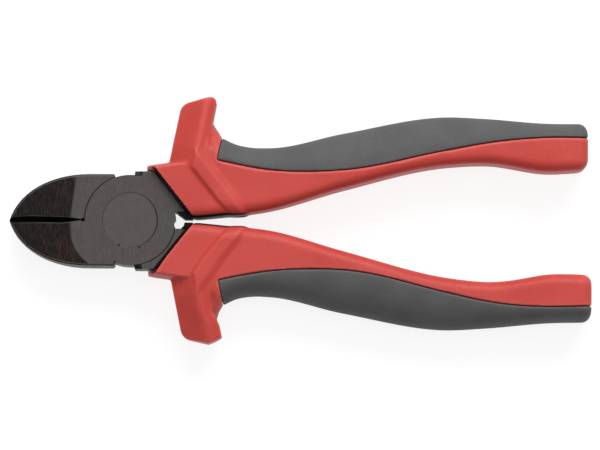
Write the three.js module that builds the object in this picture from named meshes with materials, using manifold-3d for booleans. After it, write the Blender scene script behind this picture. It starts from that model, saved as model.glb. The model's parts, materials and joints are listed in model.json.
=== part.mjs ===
// Insulated side cutters, closed and lying flat. Millimetres, +Z up.
//
// The tool is drawn about its pivot: +X runs along the handles, the cutting edge lies on the X axis and
// the plane between the two lapped joint discs is at zero height. Both halves are the same forging and
// the same mouldings: the rear half is the front half turned over about the X axis. The finished group
// is moved so that its origin lies on the bench, under the middle of the tool.

import * as THREE from "three";
import { mergeVertices } from "three/addons/utils/BufferGeometryUtils.js";
import Module from "manifold-3d";

const wasm = await Module();
wasm.setup();

// Jaws
const JAW_REACH = 33.3; // pivot to tip
const JAW_CURVE = 22.3; // length of the curved part of the outer edge, from the tip
const TIP_ANGLE = 73; // degrees between the outer edge and the cutting edge at the tip
const TIP_PULL = 8.3; // how far the outer edge keeps its direction at the tip
const SIDE_PULL = 11.2; // how far it keeps its direction where it becomes straight
const TIP_THICKNESS = 5;
const GRIND_LENGTH = 17.4; // length of the ground faces along the cutting edge
const GRIND_CROWN = 170; // radius of the slight crown across the ground faces
const FORGING_DRAFT = 0.5; // how far the outer wall leans in from the parting line to each face
const EDGE_GAP = 0.1; // between the two closed cutting edges
const BEVEL_WIDTH = 0.85; // plan width of the bevel beside each cutting edge
const BEVEL_FADE = 5.6; // length over which the bevel runs out towards the joint
const RELIEF_RADIUS = 0.5; // small relief where the cutting edge meets the joint disc

// Lap joint
const HEAD_THICKNESS = 10.4;
const DISC_RADIUS = 12.4;
const STOP_STEP = 0.6; // how far the jaw ends stand over the rim of the discs
const SHOULDER_STEP = 1; // how far the neck shoulders stand over the rim of the discs
const SHOULDER_ANGLE = 84.5; // degrees from the X axis to a neck shoulder
const OPENING = 24; // degrees that the tool opens
const STOP_SPARE = 0.8; // degrees left between the stops when the tool is open
const LAP_GAP = 0.1; // between the two discs
const RIM_GAP = 0.15; // between a disc's rim and the recess that it turns in
const RIVET_HEAD_RADIUS = 7.5;
const RIVET_HEAD_DEPTH = 2;
const RIVET_SHANK_RADIUS = 4.75;
const RIVET_CHAMFER = 0.2;
const RIVET_FIT = 0.06; // running clearance of the rivet in both levers

// Neck and tang, inside the handles
const NECK_INNER = 2.3; // distance of the neck's inner edge from the X axis
const TANG_STEP = 1.1; // step from the neck down to the tang
const TANG_SETBACK = 26; // from the end of the tang to the end of the handle
const TANG_END_WIDTH = 4;
const TANG_END_THICKNESS = 4.4;
const TANG_ROUND = 1; // corner radius of the tang's section
const CORE_SHIFT = 1; // the tang lies this much nearer the inner side of the handle

// Inner sleeve and red grip, on the handle
const FIT_GAP = 0.2; // between the layers of the handle
const SLEEVE_WALL = 1.3;
const SLEEVE_LIP = 0.6; // how far the black sleeve shows in front of the red collar
const LIP_INSET = 0.5; // the lip is this much smaller than the collar all round
const TONGUE_REACH = 2.8; // how far the lip reaches forward along the neck's inner edge
const TONGUE_INNER = 0.45; // distance of that tongue from the X axis
const TONGUE_SLANT = 2.3; // how far its front leans back
const GRIP_WALL = 2.2; // red wall over the sleeve on the flat sides
const SWELL_RISE = 0.5; // extra half thickness at the palm swell
const HEEL_DROP = 0.3; // lost half thickness at the heel
const INNER_ROUND = 3; // rounding along the inner edges of the handle
const HEEL_ROUND = 2.6; // rounding round the end of the handle

// Collar
const THROAT_DEPTH = 5.55; // along the X axis from the disc's rim to the line of the collar's front
const COLLAR_SLANT = 38.2; // degrees between the collar's front and the Y axis
const COLLAR_OUTER = 14.55; // distance of the collar's outer edge from the X axis, level with the pivot
const COLLAR_FLARE = 0.14; // how fast that edge widens along X
const COLLAR_ROUND = 1.2;

// Handle line, as runs from one station to the next along X
const GUARD_RUN = 25; // pivot to the guard's rear foot
const HOLLOW_RUN = 13.5; // guard to the narrowest point of the finger hollow
const RISE_RUN = 19.5; // hollow to the middle of the rise
const SWELL_RUN = 29; // rise to the palm swell
const WAIST_RUN = 10; // swell to the waist
const HOOK_RUN = 18.5; // waist to the heel hook
const HEEL_RUN = 10.7; // hook to the end

// Handle line, as distances from the X axis at those stations
const GAP_FRONT = 0.6; // inner edge at the collar
const GAP_GUARD = 1.3;
const GAP_HOLLOW = 2.8;
const GAP_RISE = 8.3;
const GAP_SWELL = 15.2;
const GAP_WAIST = 15.9;
const GAP_HOOK = 13.7;
const GAP_END = 14.3;
const BACK_GUARD = 23; // outer edge at the guard's rear foot
const BACK_HOLLOW = 20.4;
const BACK_RISE = 24.3;
const BACK_SWELL = 29;
const BACK_WAIST = 28.6;
const BACK_HOOK = 27.3;
const SEAM_GUARD = 16.7; // edge of the grey inlay, at its front
const SEAM_HOLLOW = 13.6;
const SEAM_RISE = 13.4;
const SEAM_SWELL = 19.3;
const SEAM_WAIST = 21.3;
const SEAM_HOOK = 23;
const GUARD_FOOT_SLOPE = 1.56; // slope of the foot behind the guard
const GUARD_FOOT_RUN = 6; // length of that foot along X

// Finger guard, in its own leaning frame: width along the tool, height away from the collar
const GUARD_AT = 10.6; // pivot to the guard's front edge at the collar
const GUARD_LEAN = 11.3; // degrees
const GUARD_WIDTH = 9.4;
const GUARD_FRONT_HEIGHT = 16;
const GUARD_REAR_HEIGHT = 21.6;
const GUARD_FRONT_ROUND = 1.6;
const GUARD_REAR_ROUND = 5;
const GUARD_ROOT = 6; // how deep it is rooted in the collar
const GUARD_RIDGE = 6.2; // front edge to the ridge
const GUARD_FRONT_HALF = 4.4; // half thickness at the front edge
const GUARD_REAR_HALF = 7.4;
const GUARD_TAPER_FROM = 5; // height at which the ridge begins to fall
const GUARD_END_HALF = 7; // half thickness of the ridge at the end
const GUARD_END_ROUND = 3;

// Rib across the flanks, and the inlay
const RIB_SETBACK = 12.6; // along the X axis from the collar's front to the middle of the rib
const RIB_TOP = 3.4;
const RIB_SLOPE = 1.5;
const RIB_HEIGHT = 1;
const RIB_BUMP = 0.4; // how far the rib stands proud of the inner edge
const INLAY_THICKNESS = 1.6;
const INLAY_GROOVE = 0.3; // open line between the grey inlay and the red grip

// Smoothness
const DISC_SEGMENTS = 72;
const ROUND_SEGMENTS = 3;
const BACK_SEGMENTS = 6;
const CURVE_SEGMENTS = 14;
const STATION_STEP = 5; // spacing of the handle's sections
const TANG_SPACING = 10; // spacing of the tang's sections
const TANG_SEGMENTS = 2;
const BEYOND = 12; // how far cutting bodies run past what they cut
const MERGE_TOLERANCE = 1e-4;

const STEEL = new THREE.MeshStandardMaterial({ color: 0x55524e, roughness: 0.5, metalness: 0.9 });
const RIVET_STEEL = new THREE.MeshStandardMaterial({ color: 0x5a5753, roughness: 0.45, metalness: 0.9 });
const BLACK = new THREE.MeshStandardMaterial({ color: 0x191817, roughness: 0.6, metalness: 0 });
const RED = new THREE.MeshStandardMaterial({ color: 0xc8483f, roughness: 0.5, metalness: 0 });
const GREY = new THREE.MeshStandardMaterial({ color: 0x656565, roughness: 0.7, metalness: 0 });

// Sizes that follow from the driving ones
const radians = THREE.MathUtils.degToRad;
const headHalf = HEAD_THICKNESS / 2;
const jawHalfWidth = DISC_RADIUS + STOP_STEP;
const neckOuter = DISC_RADIUS + SHOULDER_STEP;
const gripHalf = headHalf - TANG_STEP + FIT_GAP + SLEEVE_WALL + FIT_GAP + GRIP_WALL;
const ribHalf = gripHalf + RIB_HEIGHT;
const throatAt = DISC_RADIUS + THROAT_DEPTH;
const guardFoot = GUARD_RUN;
const hollowAt = guardFoot + HOLLOW_RUN;
const riseAt = hollowAt + RISE_RUN;
const swellAt = riseAt + SWELL_RUN;
const waistAt = swellAt + WAIST_RUN;
const hookAt = waistAt + HOOK_RUN;
const heelReach = hookAt + HEEL_RUN;
const tangEnd = heelReach - TANG_SETBACK;
const ribAt = throatAt + RIB_SETBACK;
const slantTangent = Math.tan(radians(COLLAR_SLANT));
const slantCosine = Math.cos(radians(COLLAR_SLANT));
const leanTangent = Math.tan(radians(GUARD_LEAN));
const inlayFront = guardFoot - (BACK_GUARD - SEAM_GUARD) * leanTangent;

// Solids

function solid(geometry) {
  geometry.deleteAttribute("normal");
  geometry.deleteAttribute("uv");
  const merged = mergeVertices(geometry, MERGE_TOLERANCE);
  return new wasm.Manifold(
    new wasm.Mesh({
      numProp: 3,
      vertProperties: new Float32Array(merged.attributes.position.array),
      triVerts: new Uint32Array(merged.index.array),
    }),
  );
}

function geometryOf(body) {
  const mesh = body.getMesh();
  const geometry = new THREE.BufferGeometry();
  geometry.setAttribute("position", new THREE.BufferAttribute(mesh.vertProperties, 3));
  geometry.setIndex(new THREE.BufferAttribute(mesh.triVerts, 1));
  geometry.computeVertexNormals();
  return geometry;
}

// A closed outline with rounded corners. Each corner is [x, y, length of the rounding along its sides].
function outline(corners) {
  const shape = new THREE.Shape();
  corners.forEach(([x, y, round = 0], k) => {
    const corner = new THREE.Vector2(x, y);
    const before = new THREE.Vector2(...corners.at(k - 1).slice(0, 2)).sub(corner).setLength(round);
    const after = new THREE.Vector2(...corners[(k + 1) % corners.length].slice(0, 2));
    after.sub(corner).setLength(round);
    const start = before.add(corner);
    const end = after.add(corner);
    if (k === 0) shape.moveTo(start.x, start.y);
    else shape.lineTo(start.x, start.y);
    if (round > 0) shape.quadraticCurveTo(x, y, end.x, end.y);
  });
  return shape;
}

// A plate with the given plan outline, from one height to another.
function plate(shape, low, high) {
  const settings = { depth: high - low, bevelEnabled: false, curveSegments: CURVE_SEGMENTS };
  return solid(new THREE.ExtrudeGeometry(shape, settings).translate(0, 0, low));
}

function cylinder(radius, low, high, x = 0, segments = DISC_SEGMENTS) {
  const geometry = new THREE.CylinderGeometry(radius, radius, high - low, segments);
  return solid(geometry.rotateX(Math.PI / 2).translate(x, 0, (low + high) / 2));
}

// A body together with the same body turned over about the X axis.
function bothFaces(geometry) {
  return solid(geometry.clone()).add(solid(geometry.clone().rotateX(Math.PI)));
}

// Joins rings of [x, y, z] points, each in a plane across X, into one closed body with flat ends.
function loft(rings) {
  const count = rings[0].length;
  const index = [];
  for (let r = 0; r + 1 < rings.length; r++) {
    for (let k = 0; k < count; k++) {
      const a = r * count + k;
      const b = r * count + ((k + 1) % count);
      index.push(a, b, a + count, b, b + count, a + count);
    }
  }
  const last = (rings.length - 1) * count;
  const cap = (ring) => ring.map(([, y, z]) => new THREE.Vector2(y, z));
  for (const [a, b, c] of THREE.ShapeUtils.triangulateShape(cap(rings[0]), [])) index.push(c, b, a);
  for (const [a, b, c] of THREE.ShapeUtils.triangulateShape(cap(rings.at(-1)), [])) {
    index.push(last + a, last + b, last + c);
  }
  const geometry = new THREE.BufferGeometry();
  geometry.setAttribute("position", new THREE.Float32BufferAttribute(rings.flat(2), 3));
  geometry.setIndex(index);
  return geometry;
}

// A smooth line through a few [x, y] points, as a function of x: cubic pieces that meet in equal slopes.
function smoothLine(points) {
  const last = points.length - 1;
  const rate = (k) => (points[k + 1][1] - points[k][1]) / (points[k + 1][0] - points[k][0]);
  const slopes = points.map(([x], k) => {
    if (k === 0) return rate(0);
    if (k === last) return rate(last - 1);
    const before = x - points[k - 1][0];
    const after = points[k + 1][0] - x;
    return (rate(k - 1) * after + rate(k) * before) / (before + after);
  });
  return (x) => {
    const passed = points.filter(([at]) => at <= x).length;
    const k = THREE.MathUtils.clamp(passed - 1, 0, last - 1);
    const [start, startY] = points[k];
    const [end, endY] = points[k + 1];
    const run = end - start;
    const t = THREE.MathUtils.clamp((x - start) / run, 0, 1);
    const s = 1 - t;
    const level = startY * s * s * (1 + 2 * t) + endY * t * t * (1 + 2 * s);
    return level + run * s * t * (slopes[k] * s - slopes[k + 1] * t);
  };
}

// Handle lines: inner edge, outer back, edge of the inlay and half thickness, as functions of x

const innerLine = smoothLine([
  [throatAt, GAP_FRONT],
  [guardFoot, GAP_GUARD],
  [hollowAt, GAP_HOLLOW],
  [riseAt, GAP_RISE],
  [swellAt, GAP_SWELL],
  [waistAt, GAP_WAIST],
  [hookAt, GAP_HOOK],
  [heelReach, GAP_END],
]);
const backLine = smoothLine([
  [guardFoot, BACK_GUARD],
  [hollowAt, BACK_HOLLOW],
  [riseAt, BACK_RISE],
  [swellAt, BACK_SWELL],
  [waistAt, BACK_WAIST],
  [hookAt, BACK_HOOK],
  [heelReach, BACK_HOOK],
]);
const inlayLine = smoothLine([
  [inlayFront, SEAM_GUARD],
  [hollowAt, SEAM_HOLLOW],
  [riseAt, SEAM_RISE],
  [swellAt, SEAM_SWELL],
  [waistAt, SEAM_WAIST],
  [hookAt, SEAM_HOOK],
  [heelReach, SEAM_HOOK],
]);
const halfLine = smoothLine([
  [guardFoot, gripHalf],
  [hollowAt, gripHalf],
  [riseAt, gripHalf + SWELL_RISE],
  [swellAt, gripHalf],
  [heelReach, gripHalf - HEEL_DROP],
]);
const coreLine = smoothLine([
  [0, (NECK_INNER + neckOuter) / 2],
  [NECK_INNER + neckOuter, (NECK_INNER + neckOuter) / 2],
  [hollowAt, (GAP_HOLLOW + BACK_HOLLOW) / 2 - CORE_SHIFT],
  [riseAt, (GAP_RISE + BACK_RISE) / 2 - CORE_SHIFT],
  [swellAt, (GAP_SWELL + BACK_SWELL) / 2 - CORE_SHIFT],
  [heelReach, (GAP_HOOK + BACK_HOOK) / 2 - CORE_SHIFT],
]);
const collarLine = (x) => COLLAR_OUTER + COLLAR_FLARE * x;
const footStart = guardFoot - GUARD_FOOT_RUN;

function outerLine(x) {
  if (x < footStart) return collarLine(x);
  if (x < guardFoot) return BACK_GUARD + GUARD_FOOT_SLOPE * (guardFoot - x);
  return backLine(x);
}

const seamLine = (x) => (x < footStart ? collarLine(x) - COLLAR_ROUND : inlayLine(x));

// Line of the collar's front, or a parallel line some way ahead of it.
const frontLine = (y, ahead = 0) => throatAt - ahead / slantCosine - y * slantTangent;

function behindFront(ahead) {
  const [near, far, end] = [-BEYOND, BACK_SWELL + BEYOND, heelReach + BEYOND];
  const region = [
    [frontLine(near, ahead), near],
    [end, near],
    [end, far],
    [frontLine(far, ahead), far],
  ];
  return plate(outline(region), -BEYOND, BEYOND);
}

// One section of the handle: flat flanks with rounded inner edges and an elliptical back.
function gripRing(x, inset, trim) {
  const shrink = inset + trim;
  const inner = innerLine(x) + shrink;
  const outer = outerLine(x) - shrink;
  const half = halfLine(x) - shrink;
  const seam = Math.min(seamLine(x), outer - COLLAR_ROUND);
  const round = Math.max(INNER_ROUND - shrink, COLLAR_ROUND);
  const upper = [];
  for (let k = 1; k <= BACK_SEGMENTS; k++) {
    const turn = ((Math.PI / 2) * k) / BACK_SEGMENTS;
    upper.push([x, seam + (outer - seam) * Math.cos(turn), half * Math.sin(turn)]);
  }
  for (let k = 0; k <= ROUND_SEGMENTS; k++) {
    const turn = ((Math.PI / 2) * k) / ROUND_SEGMENTS;
    upper.push([x, inner + round - round * Math.sin(turn), half - round + round * Math.cos(turn)]);
  }
  const lower = upper.map(([a, y, z]) => [a, y, -z]).reverse();
  return [[x, outer, 0], ...upper, ...lower];
}

function stations(from, to, step) {
  const steps = Math.ceil((to - from) / step);
  return Array.from({ length: steps + 1 }, (unused, k) => from + ((to - from) * k) / steps);
}

// The whole handle, or the same form shrunk all round by an inset.
function gripBody(inset = 0) {
  const end = heelReach - inset;
  const round = HEEL_ROUND;
  const rings = [0, GUARD_AT, footStart - EDGE_GAP].map((x) => gripRing(x, inset, 0));
  for (const x of [footStart, ...stations(guardFoot, end - round, STATION_STEP)]) {
    rings.push(gripRing(x, inset, 0));
  }
  for (let k = 1; k <= ROUND_SEGMENTS; k++) {
    const turn = ((Math.PI / 2) * k) / ROUND_SEGMENTS;
    rings.push(gripRing(end - round + round * Math.sin(turn), inset, round * (1 - Math.cos(turn))));
  }
  return solid(loft(rings));
}

// A rounded bar along the handle, for the tang and the layers on it.
function bar(from, to, grow) {
  const share = (x) => Math.max(0, (x - throatAt) / (tangEnd - throatAt));
  const neckWidth = (neckOuter - NECK_INNER) / 2 - TANG_STEP;
  const rings = stations(from, to, TANG_SPACING).map((x) => {
    const width = THREE.MathUtils.lerp(neckWidth, TANG_END_WIDTH / 2, share(x)) + grow;
    const half = THREE.MathUtils.lerp(headHalf - TANG_STEP, TANG_END_THICKNESS / 2, share(x)) + grow;
    const round = TANG_ROUND + grow;
    const middle = coreLine(x);
    const ring = [];
    for (const [corner, side, top] of [[0, 1, 1], [1, -1, 1], [2, -1, -1], [3, 1, -1]]) {
      for (let k = 0; k <= TANG_SEGMENTS; k++) {
        const turn = (Math.PI / 2) * (corner + k / TANG_SEGMENTS);
        const y = middle + side * (width - round) + round * Math.cos(turn);
        ring.push([x, y, top * (half - round) + round * Math.sin(turn)]);
      }
    }
    return ring;
  });
  return solid(loft(rings));
}

// Forged lever: jaw, joint disc, neck and tang in one piece

function headBlank() {
  const curveEnd = JAW_CURVE - JAW_REACH;
  const pullX = TIP_PULL * Math.cos(radians(TIP_ANGLE)) - JAW_REACH;
  const pullY = TIP_PULL * Math.sin(radians(TIP_ANGLE));
  const shape = new THREE.Shape();
  shape.moveTo(-JAW_REACH, 0);
  shape.bezierCurveTo(pullX, -pullY, curveEnd - SIDE_PULL, -jawHalfWidth, curveEnd, -jawHalfWidth);
  shape.lineTo(0, -jawHalfWidth);
  shape.lineTo(0, jawHalfWidth);
  shape.lineTo(curveEnd, jawHalfWidth);
  shape.bezierCurveTo(curveEnd - SIDE_PULL, jawHalfWidth, pullX, pullY, -JAW_REACH, 0);
  const settings = {
    depth: EDGE_GAP,
    bevelThickness: headHalf - EDGE_GAP / 2,
    bevelSize: FORGING_DRAFT,
    bevelOffset: -FORGING_DRAFT,
    bevelSegments: 1,
    curveSegments: CURVE_SEGMENTS,
  };
  return solid(new THREE.ExtrudeGeometry(shape, settings).translate(0, 0, -EDGE_GAP / 2));
}

// The half of the head on one side of the cutting edge, up to the stop at the back of the jaw.
function jaw() {
  const stop = radians(-(SHOULDER_ANGLE + OPENING + STOP_SPARE));
  const far = JAW_REACH + BEYOND;
  const side = outline([
    [-far, -EDGE_GAP / 2],
    [-far, -far],
    [far * Math.cos(stop), far * Math.sin(stop)],
    [0, -EDGE_GAP / 2],
  ]);
  return headBlank().intersect(plate(side, -headHalf - BEYOND, headHalf + BEYOND));
}

function neckOutline(grow) {
  const shoulder = radians(SHOULDER_ANGLE);
  const inner = NECK_INNER - grow;
  const outer = neckOuter + grow;
  const ahead = SLEEVE_LIP + FIT_GAP - grow;
  const root = DISC_RADIUS / 2;
  return outline([
    [root, inner],
    [frontLine(inner, ahead), inner],
    [frontLine(outer, ahead), outer],
    [outer / Math.tan(shoulder), outer],
    [root * Math.cos(shoulder), root * Math.sin(shoulder)],
  ]);
}

// What the grinding wheel takes off the upper face of both jaws: a slightly crowned slope down to the tip.
function grinding() {
  const reach = jawHalfWidth + BEYOND;
  const shape = new THREE.Shape();
  shape.moveTo(reach, BEYOND);
  shape.lineTo(-reach, BEYOND);
  shape.absarc(0, -GRIND_CROWN, GRIND_CROWN, Math.PI / 2 + reach / GRIND_CROWN,
    Math.PI / 2 - reach / GRIND_CROWN, true);
  const length = JAW_REACH + BEYOND;
  const settings = { depth: length, bevelEnabled: false, curveSegments: CURVE_SEGMENTS };
  const axes = [new THREE.Vector3(0, 1, 0), new THREE.Vector3(0, 0, 1), new THREE.Vector3(1, 0, 0)];
  const slope = Math.atan((headHalf - TIP_THICKNESS / 2) / GRIND_LENGTH);
  return new THREE.ExtrudeGeometry(shape, settings)
    .applyMatrix4(new THREE.Matrix4().makeBasis(...axes))
    .translate(-length, 0, 0)
    .rotateY(-slope)
    .translate(GRIND_LENGTH - JAW_REACH, 0, headHalf);
}

// The bevels along the upper side of both cutting edges: a vee that fades out towards the joint.
function edgeVee() {
  const fadeEnd = -DISC_RADIUS - RELIEF_RADIUS;
  const fadeStart = fadeEnd - BEVEL_FADE;
  const slope = (headHalf - TIP_THICKNESS / 2) / GRIND_LENGTH;
  const top = headHalf + RELIEF_RADIUS;
  const vee = (x, width) => {
    const face = Math.min(headHalf, TIP_THICKNESS / 2 + slope * (x + JAW_REACH));
    const spread = (width * top) / face;
    return [[x, 0, 0], [x, spread, top], [x, -spread, top]];
  };
  return loft([
    vee(-JAW_REACH - RELIEF_RADIUS, BEVEL_WIDTH),
    vee(fadeStart, BEVEL_WIDTH),
    vee(fadeEnd, EDGE_GAP),
  ]);
}

function lever() {
  const lapFace = LAP_GAP / 2;
  const low = -headHalf - BEYOND;
  const high = headHalf + BEYOND;
  const recess = cylinder(DISC_RADIUS + RIM_GAP, low, lapFace);
  const neck = plate(neckOutline(0), -headHalf, headHalf);
  const arms = jaw().add(neck).add(bar(DISC_RADIUS / 4, tangEnd, 0)).subtract(recess);
  const relief = cylinder(RELIEF_RADIUS, low, high, -DISC_RADIUS - RELIEF_RADIUS, CURVE_SEGMENTS);
  const sunkHead = headHalf - RIVET_HEAD_DEPTH - RIVET_FIT;
  return arms
    .add(cylinder(DISC_RADIUS, lapFace, headHalf))
    .subtract(bothFaces(grinding()))
    .subtract(bothFaces(edgeVee()))
    .subtract(relief)
    .subtract(cylinder(RIVET_HEAD_RADIUS + RIVET_FIT, sunkHead, high))
    .subtract(cylinder(RIVET_SHANK_RADIUS + RIVET_FIT, low, high));
}

function rivet() {
  const under = headHalf - RIVET_HEAD_DEPTH;
  const upper = [
    [RIVET_SHANK_RADIUS, under],
    [RIVET_HEAD_RADIUS, under],
    [RIVET_HEAD_RADIUS, headHalf - RIVET_CHAMFER],
    [RIVET_HEAD_RADIUS - RIVET_CHAMFER, headHalf],
    [0, headHalf],
  ];
  const lower = upper.map(([r, z]) => [r, -z]).reverse();
  const profile = [...lower, ...upper].map(([r, z]) => new THREE.Vector2(r, z));
  return solid(new THREE.LatheGeometry(profile, DISC_SEGMENTS).rotateX(Math.PI / 2));
}

// Black inner sleeve: a closed tube on the tang with a lip that shows in front of the red collar

function sleeveTube(grow) {
  const from = frontLine(neckOuter + BEYOND);
  return bar(from, tangEnd + FIT_GAP + grow, FIT_GAP + grow);
}

function sleeve() {
  const lip = gripBody(LIP_INSET).intersect(behindFront(SLEEVE_LIP)).subtract(behindFront(FIT_GAP));
  const tongueFront = DISC_RADIUS + TONGUE_REACH - TONGUE_SLANT;
  const tongueTop = NECK_INNER - FIT_GAP;
  const tongue = outline([
    [tongueFront, tongueTop],
    [tongueFront + TONGUE_SLANT, TONGUE_INNER],
    [frontLine(TONGUE_INNER, FIT_GAP), TONGUE_INNER],
    [frontLine(tongueTop, FIT_GAP), tongueTop],
  ]);
  const tongueHalf = headHalf + SLEEVE_LIP;
  return sleeveTube(SLEEVE_WALL)
    .intersect(behindFront(SLEEVE_LIP))
    .add(lip)
    .add(plate(tongue, -tongueHalf, tongueHalf))
    .subtract(plate(neckOutline(FIT_GAP), -headHalf - FIT_GAP, headHalf + FIT_GAP))
    .subtract(sleeveTube(0));
}

// Red grip: handle, guard and rib in one moulding, recessed for the inlay

// One section across the guard, at a height: its two roofs meet in a ridge of the given half thickness.
function guardRing(height, ridge) {
  const drop = ribHalf - ridge;
  const upper = [
    [height, 0, GUARD_FRONT_HALF - drop],
    [height, -GUARD_RIDGE, ridge],
    [height, -GUARD_WIDTH, GUARD_REAR_HALF - drop],
  ];
  const lower = upper.map(([x, y, z]) => [x, y, -z]).reverse();
  return [...upper, ...lower];
}

// Moves a body from the guard's leaning frame to its place on the collar.
function atGuard(geometry) {
  return solid(geometry.rotateZ(-radians(GUARD_LEAN)).translate(GUARD_AT, collarLine(GUARD_AT), 0));
}

function guard() {
  const sunk = gripHalf - FIT_GAP;
  const low = -ribHalf - BEYOND;
  const plan = outline([
    [0, -GUARD_ROOT],
    [GUARD_WIDTH, -GUARD_ROOT],
    [GUARD_WIDTH, GUARD_REAR_HEIGHT, GUARD_REAR_ROUND],
    [0, GUARD_FRONT_HEIGHT, GUARD_FRONT_ROUND],
  ]);
  const side = outline([
    [-GUARD_ROOT, -ribHalf - RIB_HEIGHT],
    [GUARD_REAR_HEIGHT, -GUARD_END_HALF, GUARD_END_ROUND],
    [GUARD_REAR_HEIGHT, GUARD_END_HALF, GUARD_END_ROUND],
    [-GUARD_ROOT, ribHalf + RIB_HEIGHT],
  ]);
  const axes = [new THREE.Vector3(0, 1, 0), new THREE.Vector3(0, 0, 1), new THREE.Vector3(1, 0, 0)];
  const settings = { depth: -2 * low, bevelEnabled: false, curveSegments: ROUND_SEGMENTS };
  const planBody = new THREE.ExtrudeGeometry(plan, settings).translate(0, 0, low);
  const sideBody = new THREE.ExtrudeGeometry(side, settings)
    .applyMatrix4(new THREE.Matrix4().makeBasis(...axes))
    .translate(-BEYOND, 0, 0);
  const roofBody = loft([
    guardRing(-GUARD_ROOT, sunk),
    guardRing(-RIB_SLOPE / 2, sunk),
    guardRing(RIB_SLOPE / 2, ribHalf),
    guardRing(GUARD_TAPER_FROM, ribHalf),
    guardRing(GUARD_REAR_HEIGHT, GUARD_END_HALF),
  ]).rotateZ(Math.PI / 2);
  return atGuard(planBody).intersect(atGuard(roofBody)).intersect(atGuard(sideBody));
}

// The wedge under the guard's two front roofs, carried on past the guard: the rib ends in a mitre on it.
function mitre() {
  const far = ribAt + BEYOND;
  const rise = (ribHalf - GUARD_FRONT_HALF) / GUARD_RIDGE;
  const foot = FIT_GAP - GUARD_FRONT_HALF / rise;
  const wedge = outline([
    [foot, 0],
    [far, rise * (foot - far)],
    [far, rise * (far - foot)],
  ]);
  const settings = { depth: 2 * far, bevelEnabled: false };
  return new THREE.ExtrudeGeometry(wedge, settings).rotateX(Math.PI / 2).translate(0, far, 0);
}

function rib() {
  const turn = radians(COLLAR_SLANT);
  const along = new THREE.Vector3(-Math.sin(turn), Math.cos(turn), 0);
  const across = new THREE.Vector3(Math.cos(turn), Math.sin(turn), 0);
  const upward = new THREE.Vector3(0, 0, 1);
  const rearEdge = across.clone().multiplyScalar(RIB_TOP / 2);
  const toGuard = new THREE.Vector2(ribAt + rearEdge.x - GUARD_AT, rearEdge.y - collarLine(GUARD_AT));
  toGuard.rotateAround(new THREE.Vector2(), radians(GUARD_LEAN));
  const outerEnd = (toGuard.x - GUARD_RIDGE) / Math.sin(turn + radians(GUARD_LEAN));
  const face = outline([
    [-BEYOND / 2, -ribHalf],
    [outerEnd, -ribHalf],
    [outerEnd, ribHalf],
    [-BEYOND / 2, ribHalf],
  ]);
  const sink = RIB_HEIGHT + FIT_GAP;
  const settings = {
    depth: RIB_TOP,
    bevelThickness: RIB_SLOPE,
    bevelSize: sink,
    bevelOffset: -sink,
    bevelSegments: 1,
  };
  const band = new THREE.ExtrudeGeometry(face, settings)
    .translate(0, 0, -RIB_TOP / 2)
    .applyMatrix4(new THREE.Matrix4().makeBasis(along, upward, across))
    .translate(ribAt, 0, 0);
  const inner = innerLine(ribAt) - RIB_BUMP;
  const limit = outline([
    [inner, -ribHalf - RIB_HEIGHT, INNER_ROUND + RIB_HEIGHT],
    [BACK_SWELL, -ribHalf - RIB_HEIGHT],
    [BACK_SWELL, ribHalf + RIB_HEIGHT],
    [inner, ribHalf + RIB_HEIGHT, INNER_ROUND + RIB_HEIGHT],
  ]);
  const axes = [new THREE.Vector3(0, 1, 0), new THREE.Vector3(0, 0, 1), new THREE.Vector3(1, 0, 0)];
  const reach = { depth: ribAt + BEYOND, bevelEnabled: false, curveSegments: ROUND_SEGMENTS };
  const limitBody = new THREE.ExtrudeGeometry(limit, reach)
    .applyMatrix4(new THREE.Matrix4().makeBasis(...axes));
  return solid(band).intersect(solid(limitBody)).intersect(atGuard(mitre()));
}

// Everything outside the edge of the inlay, moved out by an offset.
function inlaySide(offset) {
  const far = BACK_SWELL + BEYOND;
  const end = heelReach + BEYOND;
  const corner = inlayFront + offset;
  const edge = stations(corner, end, STATION_STEP).map((x) => [x, inlayLine(x) + offset]);
  const region = [[corner + (far - SEAM_GUARD) * leanTangent, far], ...edge, [end, far]];
  return plate(outline(region), -gripHalf - BEYOND, gripHalf + BEYOND);
}

function grip() {
  const recess = inlaySide(-INLAY_GROOVE / 2).subtract(gripBody(INLAY_THICKNESS + FIT_GAP / 2));
  return gripBody()
    .add(guard())
    .add(rib())
    .intersect(behindFront(0))
    .subtract(recess)
    .subtract(sleeveTube(SLEEVE_WALL + FIT_GAP));
}

function inlay() {
  const skin = gripBody().subtract(gripBody(INLAY_THICKNESS - FIT_GAP / 2));
  return skin.intersect(inlaySide(INLAY_GROOVE / 2));
}

// Assembly

function piece(name, body, material) {
  const mesh = new THREE.Mesh(geometryOf(body), material);
  mesh.name = name;
  return mesh;
}

const leverBody = lever();
const sleeveBody = sleeve();
const gripMoulding = grip();
const inlayBody = inlay();

function half(side) {
  const group = new THREE.Group();
  group.add(
    piece(`${side}_lever`, leverBody, STEEL),
    piece(`${side}_sleeve`, sleeveBody, BLACK),
    piece(`${side}_grip`, gripMoulding, RED),
    piece(`${side}_inlay`, inlayBody, GREY),
  );
  return group;
}

const front = half("front");
const rear = half("rear");
rear.rotation.x = Math.PI;

const sideCutters = new THREE.Group();
sideCutters.add(front, rear, piece("pivot_rivet", rivet(), RIVET_STEEL));
sideCutters.position.set((JAW_REACH - heelReach) / 2, 0, ribHalf);

export default sideCutters;
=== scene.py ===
# %% [markdown]
# Insulated side cutters, closed and lying flat on a pale table. Two forged steel halves lap at a flush
# rivet. Each handle has a black inner sleeve, a red moulding with a finger guard and a soft grey inlay
# along its back. The packed solids give every size and place. This script makes the visible surfaces:
# softer edges on the steel, fine mouldings for the handles, and a finish for each material.

# %% Load the frame
import json
import math
from contextlib import contextmanager

import bmesh
import bpy
import numpy as np
from mathutils import Matrix, Vector


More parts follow.
